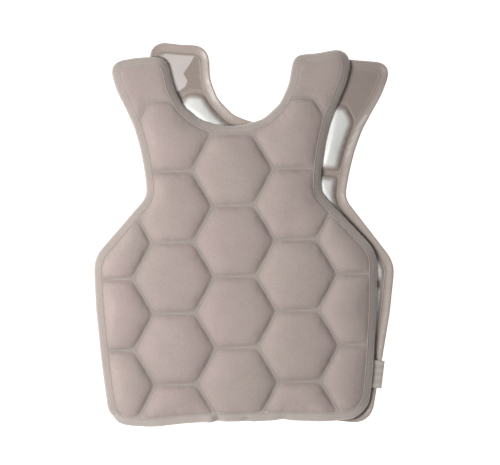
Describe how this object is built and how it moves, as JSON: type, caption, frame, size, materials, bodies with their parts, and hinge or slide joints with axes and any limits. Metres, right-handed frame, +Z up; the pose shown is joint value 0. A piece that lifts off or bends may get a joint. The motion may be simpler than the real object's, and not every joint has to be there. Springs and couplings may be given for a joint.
{
  "type": "cooling vest",
  "caption": "Phase-change cooling vest as front and back body panels of welded hexagonal pillows, laid flat and slightly fanned.",
  "frame": {"origin": "bottom centre of the bounding box, on the floor under the back panel", "axes": "+Y from the hem towards the shoulders, +Z up off the floor, +X to the right as seen from above"},
  "size_m": [0.421, 0.5344, 0.0302],
  "materials": {
    "fabric": "matte brushed knit in a pinkish taupe",
    "film": "satin translucent film, taupe where it lies on the cover",
    "wax": "cloudy off-white wax",
    "tape": "matte woven tape"
  },
  "bodies": {
    "root": {"back_cover": "fabric", "back_lining": "film", "back_wax_ll1": "wax", "back_wax_ll2": "wax", "back_wax_ll3": "wax", "back_wax_l1": "wax", "back_wax_l2": "wax", "back_wax_l3": "wax", "back_wax_l4": "wax", "back_wax_l5": "wax", "back_wax_c1": "wax", "back_wax_c2": "wax", "back_wax_c3": "wax", "back_wax_c4": "wax", "back_wax_r1": "wax", "back_wax_r2": "wax", "back_wax_r3": "wax", "back_wax_r4": "wax", "back_wax_r5": "wax", "back_wax_rr1": "wax", "back_wax_rr2": "wax", "back_wax_rr3": "wax", "front_cover": "fabric", "front_lining": "film", "front_wax_ll1": "wax", "front_wax_ll2": "wax", "front_wax_ll3": "wax", "front_wax_l1": "wax", "front_wax_l2": "wax", "front_wax_l3": "wax", "front_wax_l4": "wax", "front_wax_l5": "wax", "front_wax_c1": "wax", "front_wax_c2": "wax", "front_wax_c3": "wax", "front_wax_c4": "wax", "front_wax_r1": "wax", "front_wax_r2": "wax", "front_wax_r3": "wax", "front_wax_r4": "wax", "front_wax_r5": "wax", "front_wax_rr1": "wax", "front_wax_rr2": "wax", "front_wax_rr3": "wax", "side_label": "tape"}
  },
  "joints": []
}
